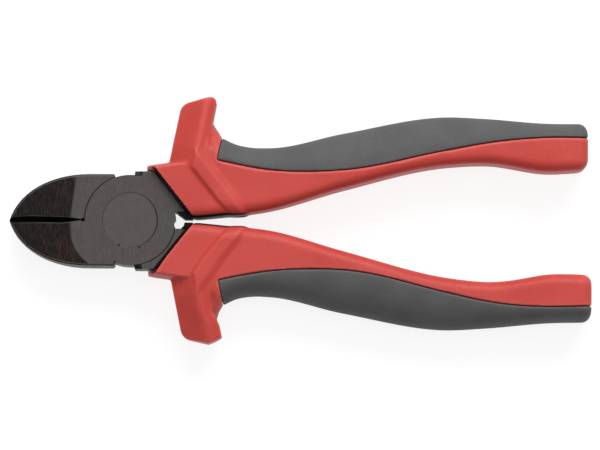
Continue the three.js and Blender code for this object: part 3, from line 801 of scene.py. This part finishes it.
def forging_hollow(outward, up):
    """A squashed, slightly lumpy sphere that dishes the front corner of a shoulder."""
    bm = bmesh.new()
    bmesh.ops.create_icosphere(bm, subdivisions=3, radius=1.0)
    for vert in bm.verts:
        vert.co *= 1 + LUMPS * math.sin(7 * vert.co.x + 2) * math.sin(6 * vert.co.y + 1)
    bmesh.ops.scale(bm, vec=HOLLOW_SIZE, verts=bm.verts)
    bmesh.ops.translate(bm, vec=SHOULDER_SPOT * Vector((1, outward, up)), verts=bm.verts)
    return new_object("forging_hollow", bm)


plug_at = Matrix.Translation((RELIEF_AT, 0, (FLOOR_TOP + FLOOR_LOW) / 2))
plug = cone("relief_floor", RELIEF_RADIUS, RELIEF_RADIUS, FLOOR_TOP - FLOOR_LOW, plug_at, RELIEF_SEGMENTS)
combine(levers["rear"], plug, "UNION")
for x, y in MARK_SPOTS:
    mark_at = Matrix.Translation((x, y, HEAD_HALF))
    mark = cone("punch_mark", MARK_TIP, 2 * MARK_RADIUS, 2 * MARK_DEPTH, mark_at, MARK_SEGMENTS)
    combine(rivet, mark, "DIFFERENCE", keep_tool=True)
    combine(levers["front"], mark, "DIFFERENCE")
for side, outward in (("front", 1), ("rear", -1)):
    for up in (1, -1):
        combine(levers[side], forging_hollow(outward, up), "DIFFERENCE")
report(rivet, *levers.values())

# %% [markdown]
# The black sleeves get the same fine bevel. Their tongues reach into the throat between the handles and
# stop just short of its middle. A round hole behind the joint disc trims them and leaves the throat open.
# On the steel and the sleeves, normals weighted by area keep the flats flat.

# %% Sleeves and flat shading
SLEEVE_EDGE = 0.06
TONGUE_GAP = 0.65
HOLE_AT, HOLE_RADIUS = (13.35, -0.75, 0), 1.5
CREASE = math.radians(40)
GRIND_CREASE = math.radians(5)
FLAT_WEIGHT = 80


def flat_shading(obj):
    """Smooth shading in which large flat faces win over the small ones beside them."""
    obj.data.shade_smooth()
    with editing(obj) as bm:
        for edge in bm.edges:
            level = all(abs(face.normal.z) > LEVEL for face in edge.link_faces)
            edge.smooth = edge.is_manifold and edge.calc_face_angle() < (GRIND_CREASE if level else CREASE)
    flats = obj.modifiers.new("flat flats", "WEIGHTED_NORMAL")
    flats.keep_sharp = True
    flats.weight = FLAT_WEIGHT
    apply_modifiers(obj)


sleeves = {}
for side, outward in (("front", 1), ("rear", -1)):
    sleeves[side] = merged_copy(side + "_sleeve", side + "_sleeve_lip")
    with editing(sleeves[side]) as bm:
        trim(bm, Vector((0, outward * TONGUE_GAP, 0)), Vector((0, outward, 0)))
    combine(sleeves[side], lip_form, "DIFFERENCE", keep_tool=True)
    lip_form.data.transform(TURN_OVER)
    bevel_edges(sleeves[side], SLEEVE_EDGE)
discard(lip_form)
hole = cone("throat_hole", HOLE_RADIUS, HOLE_RADIUS, OUTSIDE, Matrix.Translation(HOLE_AT))
for piece in (*levers.values(), *sleeves.values()):
    combine(piece, hole, "DIFFERENCE", keep_tool=True)
discard(hole)
for piece in (*levers.values(), *sleeves.values(), rivet):
    flat_shading(piece)
report(*levers.values(), *sleeves.values())

# %% [markdown]
# The finishes are procedural. Each reads Object coordinates, brought to millimetres from the pivot by a
# Mapping node, so that a grain of half a millimetre is written as half a millimetre. The class below keeps
# the node trees readable: each method adds one node and returns its output. Noise lies mostly in the middle
# of its range, so clouds and grains are drawn out from there. The colour sockets of a Mix node are known by
# their numbers.

# %% A kit for finishes
CLOUDS, GRAINS = (0.35, 0.65), (0.3, 0.7)
MIX_AMOUNT, MIX_FIRST, MIX_SECOND, MIX_RESULT = 0, 6, 7, 2


class Finish:
    """A material whose patterns are laid out in millimetres from the pivot."""

    def __init__(self, name):
        self.material = bpy.data.materials.new(name)
        self.material.use_nodes = True
        self.tree = self.material.node_tree
        self.shader = self.tree.nodes["Principled BSDF"]
        place = self.node("ShaderNodeMapping", vector_type="POINT")
        place.inputs["Location"].default_value = -pivot / MM
        place.inputs["Scale"].default_value = (1 / MM, 1 / MM, 1 / MM)
        self.join(self.node("ShaderNodeTexCoord").outputs["Object"], place.inputs["Vector"])
        self.place = place.outputs["Vector"]
        axes = self.node("ShaderNodeSeparateXYZ")
        self.join(self.place, axes.inputs["Vector"])
        self.x, self.y, self.z = axes.outputs

    def node(self, kind, **settings):
        """Adds a node and sets its options."""
        made = self.tree.nodes.new(kind)
        for name, value in settings.items():
            setattr(made, name, value)
        return made

    def join(self, value, socket):
        """Links an output to a socket, or writes a plain value there."""
        if isinstance(value, bpy.types.NodeSocket):
            self.tree.links.new(value, socket)
        else:
            socket.default_value = value

    def math(self, operation, first, second=0.0):
        """One calculation with two values."""
        made = self.node("ShaderNodeMath", operation=operation)
        self.join(first, made.inputs[0])
        self.join(second, made.inputs[1])
        return made.outputs[0]

    def grain(self, size, stretch=(1, 1, 1), detail=3.0):
        """Noise with spots of a size in millimetres, drawn out along the axes by a stretch."""
        shape = self.node("ShaderNodeVectorMath", operation="MULTIPLY")
        self.join(self.place, shape.inputs[0])
        shape.inputs[1].default_value = [1 / (size * s) for s in stretch]
        made = self.node("ShaderNodeTexNoise")
        made.inputs["Scale"].default_value = 1.0
        made.inputs["Detail"].default_value = detail
        self.join(shape.outputs[0], made.inputs["Vector"])
        return made.outputs[0]

    def fade(self, value, low, high, start=0.0, end=1.0):
        """Goes softly from a start to an end while a value goes from low to high."""
        made = self.node("ShaderNodeMapRange", interpolation_type="SMOOTHSTEP")
        self.join(value, made.inputs["Value"])
        for name, level in (("From Min", low), ("From Max", high), ("To Min", start), ("To Max", end)):
            made.inputs[name].default_value = level
        return made.outputs[0]

    def mark(self, name):
        """A value that the mesh itself carries."""
        return self.node("ShaderNodeAttribute", attribute_name=name).outputs["Fac"]

    def blend(self, amount, first, second):
        """Goes from one colour to another."""
        made = self.node("ShaderNodeMix", data_type="RGBA")
        for socket, value in ((MIX_AMOUNT, amount), (MIX_FIRST, first), (MIX_SECOND, second)):
            self.join(value, made.inputs[socket])
        return made.outputs[MIX_RESULT]

    def bump(self, height, depth, under=None):
        """Raises the surface by a depth in millimetres where the height is one."""
        made = self.node("ShaderNodeBump")
        made.inputs["Strength"].default_value = 1.0
        made.inputs["Distance"].default_value = depth * MM
        self.join(height, made.inputs["Height"])
        if under is not None:
            self.join(under, made.inputs["Normal"])
        return made.outputs[0]

    def done(self, **values):
        """Feeds the shader's own sockets and returns the finished material."""
        for name, value in values.items():
            self.join(value, self.shader.inputs[name.replace("_", " ")])
        print(self.material.name, "has", len(self.tree.nodes), "nodes")
        return self.material


print("a finish can use:", [name for name in vars(Finish) if not name.startswith("_")])

# %% [markdown]
# The red moulding is a tough plastic with a fine eroded texture. Its colour drifts a little over the handle,
# its edges and crests get a painted highlight, and its inner corners are darkened with painted shade. A
# hairline at mid height is the parting line of the mould.

# %% Red moulding
RED, RED_LIGHT, RED_GRAIN = (0.475, 0.046, 0.036, 1), (0.51, 0.056, 0.045, 1), (0.43, 0.033, 0.024, 1)
RED_EDGE_HIGHLIGHT, RED_CORNER_SHADE = (0.60, 0.115, 0.105, 1), (0.30, 0.020, 0.015, 1)
RED_PARTING, THROAT_WALL_BLACK = (0.62, 0.13, 0.12, 1), (0.011, 0.010, 0.010, 1)


def red_moulding():
    """Satin red plastic with a fine grain and a parting line."""
    finish = Finish("red_moulding")
    drift = finish.fade(finish.grain(14.0, detail=2.0), *CLOUDS)
    grain = finish.grain(0.42, detail=2.0)
    colour = finish.blend(drift, RED, RED_LIGHT)
    colour = finish.blend(finish.fade(grain, *GRAINS, 0, 0.28), colour, RED_GRAIN)
    edge = finish.mark("stands_out")
    # Painted highlight: edges and crests that stand out are made paler.
    colour = finish.blend(finish.fade(edge, 0.008, 0.10, 0, 0.6), colour, RED_EDGE_HIGHLIGHT)
    # Painted shade: inner corners are made a deeper red.
    colour = finish.blend(finish.fade(edge, -0.02, -0.16, 0, 0.75), colour, RED_CORNER_SHADE)
    # The inner wall near the throat is coloured black by the mark made above.
    colour = finish.blend(finish.mark("lining"), colour, THROAT_WALL_BLACK)
    parting = finish.fade(finish.math("ABSOLUTE", finish.z), 0.05, 0.16, 1, 0)
    colour = finish.blend(finish.math("MULTIPLY", parting, 0.2), colour, RED_PARTING)
    rough = finish.fade(grain, *GRAINS, 0.42, 0.58)
    normal = finish.bump(parting, 0.06, finish.bump(grain, 0.035))
    return finish.done(Base_Color=colour, Roughness=rough, Specular_IOR_Level=0.25, Normal=normal)


finishes = {"grip_red": red_moulding()}

# %% [markdown]
# The grey inlay is softer and duller. It has a finer, denser grain, no gloss to speak of, and slightly
# cloudy colour from handling.

# %% Grey inlay
GREY, GREY_LIGHT = (0.077, 0.075, 0.075, 1), (0.088, 0.086, 0.086, 1)
GREY_GRAIN, GREY_EDGE_HIGHLIGHT = (0.062, 0.060, 0.060, 1), (0.14, 0.137, 0.135, 1)


def grey_inlay():
    """Dull soft rubber with a fine grain."""
    finish = Finish("grey_inlay")
    cloud = finish.fade(finish.grain(9.0), *CLOUDS)
    grain = finish.grain(0.30, detail=2.0)
    colour = finish.blend(cloud, GREY, GREY_LIGHT)
    colour = finish.blend(finish.fade(grain, *GRAINS, 0, 0.3), colour, GREY_GRAIN)
    edge = finish.mark("stands_out")
    # Painted highlight: the inlay's edges are made paler.
    colour = finish.blend(finish.fade(edge, 0.03, 0.16, 0, 0.35), colour, GREY_EDGE_HIGHLIGHT)
    rough = finish.fade(grain, *GRAINS, 0.62, 0.8)
    normal = finish.bump(grain, 0.03)
    return finish.done(Base_Color=colour, Roughness=rough, Specular_IOR_Level=0.3, Normal=normal)


finishes["inlay_grey"] = grey_inlay()

# %% [markdown]
# The steel is blackened. Its flats are an even dark grey with a faint mottle and fine upright brush lines.
# The ground jaws show clear grind lines across the jaw; their near-black colour is a painted dark reflection,
# with a painted brown reflection in patches towards the joint. On the upper jaw the ground area ends in a
# straight line, on the lower one in a curve that runs back along the outer edge. The bevelled rims get a
# painted highlight, strongest on the ground area, and the hollow at each shoulder is painted black as shade.

# %% Blackened steel
GROUND_END = -16.4
GROUND_LEAN_UPPER, GROUND_CURVE_LOWER = 0.137, 0.003
HOLLOW_SHADE_X, HOLLOW_SHADE_Y = 2.2, 12.1
STEEL_METALLIC = 0.6
FLAT, FLAT_LIGHT, FLAT_BRUSHED = (0.063, 0.057, 0.054, 1), (0.070, 0.064, 0.061, 1), (0.048, 0.044, 0.042, 1)
BLACK, BLACK_LIGHT = (0.006, 0.005, 0.005, 1), (0.026, 0.019, 0.018, 1)
BROWN, BROWN_LIGHT = (0.010, 0.007, 0.006, 1), (0.050, 0.028, 0.023, 1)
RIM_HIGHLIGHT, HOLLOW_SHADE_BLACK = (0.22, 0.21, 0.20, 1), (0.008, 0.007, 0.007, 1)


def ground_border(finish):
    """How far a point lies ahead of the border of the ground area."""
    upper = finish.math("MULTIPLY", finish.math("MAXIMUM", finish.y, 0.0), GROUND_LEAN_UPPER)
    below = finish.math("MAXIMUM", finish.math("MULTIPLY", finish.y, -1.0), 0.0)
    lower = finish.math("MULTIPLY", finish.math("POWER", below, 3.0), GROUND_CURVE_LOWER)
    border = finish.math("ADD", finish.math("ADD", upper, lower), GROUND_END)
    return finish.math("SUBTRACT", border, finish.x)


def black_steel():
    """Blackened forged steel with ground jaws painted near-black as dark reflection, and rims with a painted
    highlight.
    """
    finish = Finish("black_steel")
    mottle = finish.fade(finish.grain(2.6, detail=4.0), *CLOUDS)
    brushing = finish.grain(0.16, stretch=(1, 14, 14), detail=2.0)
    flats = finish.blend(mottle, FLAT, FLAT_LIGHT)
    flats = finish.blend(finish.fade(brushing, *GRAINS, 0, 0.3), flats, FLAT_BRUSHED)
    lines = finish.grain(0.20, stretch=(1, 9, 9))
    # Painted warm reflection: a brown tinge in patches on the ground area towards the joint.
    warm_reflection = finish.fade(finish.grain(4.0, stretch=(1, 2, 2)), 0.4, 0.7)
    warm_reflection = finish.math("MULTIPLY", warm_reflection, finish.fade(finish.x, -28.0, -18.0))
    scratch = finish.fade(lines, 0.38, 0.66)
    # Painted dark reflection: the ground area is near-black, lighter along its own grind lines.
    black = finish.blend(scratch, BLACK, BLACK_LIGHT)
    brown = finish.blend(scratch, BROWN, BROWN_LIGHT)
    dark = finish.blend(warm_reflection, black, brown)
    ahead = finish.fade(ground_border(finish), -0.35, 0.35)
    ground = finish.math("MULTIPLY", finish.mark("ground"), ahead)
    colour = finish.blend(ground, flats, dark)
    # Painted highlight along the bevelled rims, strongest on the ground area.
    rim = finish.math("MULTIPLY", finish.mark("edge_strip"), finish.fade(ground, 0.2, 0.8, 0.1, 0.6))
    colour = finish.blend(rim, colour, RIM_HIGHLIGHT)
    # Painted shade: the hollow at each shoulder is made black, with a rough border.
    beside = finish.fade(finish.math("ABSOLUTE", finish.math("SUBTRACT", finish.x, HOLLOW_SHADE_X)), 0.9, 1.5, 1, 0)
    outside = finish.fade(finish.math("ABSOLUTE", finish.y), HOLLOW_SHADE_Y - 0.4, HOLLOW_SHADE_Y + 0.3)
    hollow_shade = finish.math("ADD", finish.math("MULTIPLY", beside, outside), finish.grain(0.8))
    colour = finish.blend(finish.fade(hollow_shade, 1.05, 1.35, 0, 0.9), colour, HOLLOW_SHADE_BLACK)
    satin = finish.fade(brushing, *GRAINS, 0.42, 0.58)
    rough = finish.math("ADD", satin, finish.math("MULTIPLY", ground, 0.2))
    normal = finish.bump(finish.math("MULTIPLY", lines, ground), 0.06, finish.bump(brushing, 0.010))
    return finish.done(
        Base_Color=colour, Metallic=STEEL_METALLIC, Roughness=rough, Specular_IOR_Level=0.3, Normal=normal
    )


finishes["lever_steel"] = black_steel()

# %% [markdown]
# The rivet has the same blackened steel, a touch lighter, with the marks of face turning: rings instead of
# straight lines. It was ground a little out of line, so a dark crescent is left along its rim on the handle
# side.

# %% Rivet steel
CRESCENT_SHIFT = 0.5
RING_PITCH = 0.45
RIVET, RIVET_LIGHT = (0.064, 0.058, 0.055, 1), (0.071, 0.065, 0.062, 1)
RING_DARK, CRESCENT_BLACK = (0.044, 0.041, 0.039, 1), (0.012, 0.010, 0.010, 1)


def rivet_steel():
    """Blackened steel with turning rings and an off-centre dark rim."""
    finish = Finish("rivet_steel")
    x_squared = finish.math("POWER", finish.x, 2.0)
    y_squared = finish.math("POWER", finish.y, 2.0)
    radius = finish.math("SQRT", finish.math("ADD", x_squared, y_squared))
    rings = finish.math("SINE", finish.math("MULTIPLY", radius, 2 * math.pi / RING_PITCH))
    mottle = finish.fade(finish.grain(2.2, detail=4.0), *CLOUDS)
    colour = finish.blend(mottle, RIVET, RIVET_LIGHT)
    colour = finish.blend(finish.fade(rings, -1, 1, 0, 0.18), colour, RING_DARK)
    shifted = finish.math("POWER", finish.math("ADD", finish.x, CRESCENT_SHIFT), 2.0)
    off = finish.math("SQRT", finish.math("ADD", shifted, y_squared))
    crescent = finish.fade(off, HEAD_RADIUS - 0.05, HEAD_RADIUS + 0.35)
    colour = finish.blend(finish.math("MULTIPLY", crescent, 0.85), colour, CRESCENT_BLACK)
    rough = finish.fade(mottle, 0, 1, 0.45, 0.58)
    normal = finish.bump(rings, 0.003)
    return finish.done(Base_Color=colour, Metallic=STEEL_METALLIC, Roughness=rough, Normal=normal)


finishes["rivet_steel"] = rivet_steel()

# %% [markdown]
# The inner sleeve is a plain black insulating plastic. Only its lip and its tongues show, so a fine grain
# and a slight dusting are enough.

# %% Black sleeve
SLEEVE, SLEEVE_DUSTY = (0.0025, 0.0025, 0.0025, 1), (0.006, 0.0055, 0.005, 1)


def black_sleeve():
    """Matt black insulating plastic."""
    finish = Finish("black_sleeve")
    grain = finish.grain(0.35, detail=2.0)
    dust = finish.fade(finish.grain(3.0), 0.45, 0.75, 0, 0.5)
    colour = finish.blend(dust, SLEEVE, SLEEVE_DUSTY)
    rough = finish.fade(grain, *GRAINS, 0.6, 0.8)
    normal = finish.bump(grain, 0.02)
    return finish.done(Base_Color=colour, Roughness=rough, Specular_IOR_Level=0.12, Normal=normal)


finishes["sleeve_black"] = black_sleeve()

# %% [markdown]
# The two handles share one shape, but no two from a mould are quite alike. In the picture the front handle
# is slimmer and its heel a little shorter. The rear handle is fuller along its back, its hook starts later,
# and its guard sits further back with a blunter corner. So each copy is reshaped a little, all its points
# at once, before it is placed.

# %% Differences between the two handles
BELLY, HOOK_START = 75.0, 106.0
FRONT_INNER = smooth_line([(FINGER_ROOT, 0), (HOLLOW, 0.35), (BELLY, 0.4), (WAIST, 0), (HEEL, 0)])
REAR_INNER = smooth_line(
    [(FINGER_ROOT, 0), (BELLY, 0), (WAIST, 0.6), (HOOK_START, 0.9), (HOOK, 0.6), (HEEL, 0.1)]
)
REAR_BACK = smooth_line([(FINGER_ROOT, 0), (HOLLOW, 0.45), (BELLY, 0.7), (HOOK_START, 0.35), (HEEL, 0)])
HEEL_SHORT, HEEL_FROM = 1.0, 95.0
GUARD_SETBACK, GUARD_STRETCH = 0.5, 1.4
SETBACK_FROM_Y, SETBACK_FULL_Y = 10.0, 15.5
SETBACK_FADE, SETBACK_END = 30.0, 46.0
STRETCH_FROM, STRETCH_FULL = 15.0, 24.0
STRETCH_FROM_Y, STRETCH_FULL_Y = 24.0, 29.0
BLUNT_AT, BLUNT_TURN = (19.8, 34.5), math.radians(62)
BLUNT_SQUEEZE = 0.85


def ramp(values, low, high):
    """Goes softly from nothing to one while the values go from low to high."""
    t = np.clip((values - low) / (high - low), 0, 1)
    return t * t * (3 - 2 * t)


def share_across(x, y):
    """Where points lie between the inner edge (0) and the back (1) of the handle."""
    inner = along(inner_line, x)
    return np.clip((y - inner) / (along(back_line, x) - inner), 0, 1)


def shape_front(places):
    """The front handle: slimmer inside and shorter at its heel."""
    x, y, _ = places.T
    y += (1 - share_across(x, y)) * along(FRONT_INNER, x)
    x -= HEEL_SHORT * ramp(x, HEEL_FROM, HEEL)


def shape_rear(places):
    """The rear handle: fuller, with its guard drawn back and the guard's far corner blunted."""
    x, y, _ = places.T
    share = share_across(x, y)
    y += (1 - share) * along(REAR_INNER, x) + share * along(REAR_BACK, x)
    by_guard = x < SETBACK_FADE
    setback = GUARD_SETBACK * ramp(y, SETBACK_FROM_Y, SETBACK_FULL_Y)
    stretch = GUARD_STRETCH * ramp(x, STRETCH_FROM, STRETCH_FULL) * ramp(y, STRETCH_FROM_Y, STRETCH_FULL_Y)
    x += ramp(-x, -SETBACK_END, -SETBACK_FADE) * (setback + stretch)
    normal = np.array((math.cos(BLUNT_TURN), math.sin(BLUNT_TURN)))
    past = np.clip((places[:, :2] - BLUNT_AT) @ normal, 0, None) * by_guard
    places[:, :2] -= BLUNT_SQUEEZE * np.outer(past, normal)


print("rear handle is fuller by up to", round(REAR_BACK(BELLY), 2), "mm")

# %% [markdown]
# Now every piece goes to its place, tied to the packed model in three ways: it rides on one of the two
# swinging halves, it replaces a packed solid, and it names that solid's material slot. The place is in the
# mesh, so the object stays at the origin and a pattern on Object coordinates can't slide. The handles are
# turned over for the rear half. The other pieces were drawn in place and only change from millimetres to
# metres.

# %% Put the pieces in place


def put(shape, side, node, ending, slot, matrix=TO_FRONT, reshape=None):
    """Puts a copy of a shape in its half of the tool, in the place of a packed solid, with its finish."""
    mesh = shape.data.copy()
    mesh.name = node + "_" + ending
    if reshape:
        places = rows(mesh.vertices, "co")
        reshape(places)
        mesh.vertices.foreach_set("co", places.ravel())
    mesh.transform(matrix)
    mesh.materials.clear()
    mesh.materials.append(finishes[slot])
    obj = bpy.data.objects.new(mesh.name, mesh)
    bpy.context.scene.collection.objects.link(obj)
    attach(obj, side + "_half")
    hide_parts(node)
    mesh.calc_loop_triangles()
    print(obj.name, "has", len(mesh.loop_triangles), "triangles")


for side, matrix, reshape in (("front", TO_FRONT, shape_front), ("rear", TO_REAR, shape_rear)):
    put(grip, side, side + "_grip", "moulding", "grip_red", matrix, reshape)
    put(inlay, side, side + "_inlay", "pad", "inlay_grey", matrix, reshape)
    put(sleeves[side], side, side + "_sleeve", "skin", "sleeve_black")
    put(levers[side], side, side + "_lever", "forging", "lever_steel")
put(rivet, "front", "pivot_rivet", "head", "rivet_steel")
for shape in (grip, inlay, rivet, *levers.values(), *sleeves.values()):
    discard(shape)

# %% [markdown]
# The tool lies on a light table, a white sheet that glows a little by itself. That is how a product is
# photographed for a catalogue: shadows stay faint, and a narrow gap between two handles stays bright.

# %% Light table
TABLE_SIZE = 3.0
SHEET_GREY, SHEET_GLOW = (0.2, 0.2, 0.2, 1), 0.85
WHITE = (1, 1, 1, 1)
sheet = bmesh.new()
bmesh.ops.create_grid(sheet, x_segments=1, y_segments=1, size=TABLE_SIZE / 2)
table = new_object("light_table", sheet)
white_sheet = Finish("white_sheet").done(
    Base_Color=SHEET_GREY, Roughness=0.9, Specular_IOR_Level=0.0, Emission_Color=WHITE,
    Emission_Strength=SHEET_GLOW,
)
table.data.materials.append(white_sheet)
print("table is", TABLE_SIZE, "m wide")

# %% [markdown]
# The light is plain and soft: an even white surround, a wide soft box overhead and a smaller one beyond the
# upper handle. Flats take a pale sheen from the wide one. Slopes that face up the picture are brighter, and
# those that face down it are darker.

# %% Studio light
SURROUND = 0.3
OVERHEAD_SIZE, OVERHEAD_POWER, OVERHEAD_AT = (1.5, 1.5), 11.0, (0.1, 0.15, 1.9)
KEY_SIZE, KEY_POWER, KEY_AT = (0.9, 0.5), 11.5, (0.15, 0.75, 0.75)
world = bpy.data.worlds.new("studio")
bpy.context.scene.world = world
world.use_nodes = True
surround = world.node_tree.nodes["Background"]
surround.inputs["Color"].default_value = WHITE
surround.inputs["Strength"].default_value = SURROUND


def aim(obj, location, target):
    """Places a lamp or a camera and turns it towards a target."""
    obj.location = location
    obj.rotation_euler = (Vector(target) - Vector(location)).to_track_quat("-Z", "Y").to_euler()
    bpy.context.scene.collection.objects.link(obj)


def soft_box(name, size, power, location):
    """A rectangular lamp that faces the tool."""
    lamp = bpy.data.lights.new(name, "AREA")
    lamp.shape = "RECTANGLE"
    lamp.size, lamp.size_y = size
    lamp.energy = power
    aim(bpy.data.objects.new(name, lamp), location, (0, 0, 0))
    print(name, "power:", power, "W")


soft_box("overhead_box", OVERHEAD_SIZE, OVERHEAD_POWER, OVERHEAD_AT)
soft_box("key_box", KEY_SIZE, KEY_POWER, KEY_AT)

# %% [markdown]
# The photograph was taken almost straight from above with a long lens, so the camera stands far away and
# the lens is chosen to take in the tool's length. The tool lies a touch askew in the picture, so the camera
# is rolled by a quarter of a degree.

# %% Camera
ELEVATION = math.radians(86)
DISTANCE = 1.5
VIEW_WIDTH = 0.1646
SENSOR = 36.0
ROLL = math.radians(0.25)
AIM_AT = Vector((0, -0.0008, 0.009))
camera = bpy.data.cameras.new("camera")
camera.sensor_width = SENSOR
camera.lens = SENSOR * DISTANCE / VIEW_WIDTH
stand = bpy.data.objects.new("camera", camera)
aim(stand, AIM_AT + DISTANCE * Vector((0, -math.cos(ELEVATION), math.sin(ELEVATION))), AIM_AT)
stand.rotation_euler.rotate_axis("Z", ROLL)
bpy.context.scene.camera = stand
bpy.context.scene.view_settings.view_transform = "Standard"
print("lens:", round(camera.lens), "mm")

# %% [markdown]
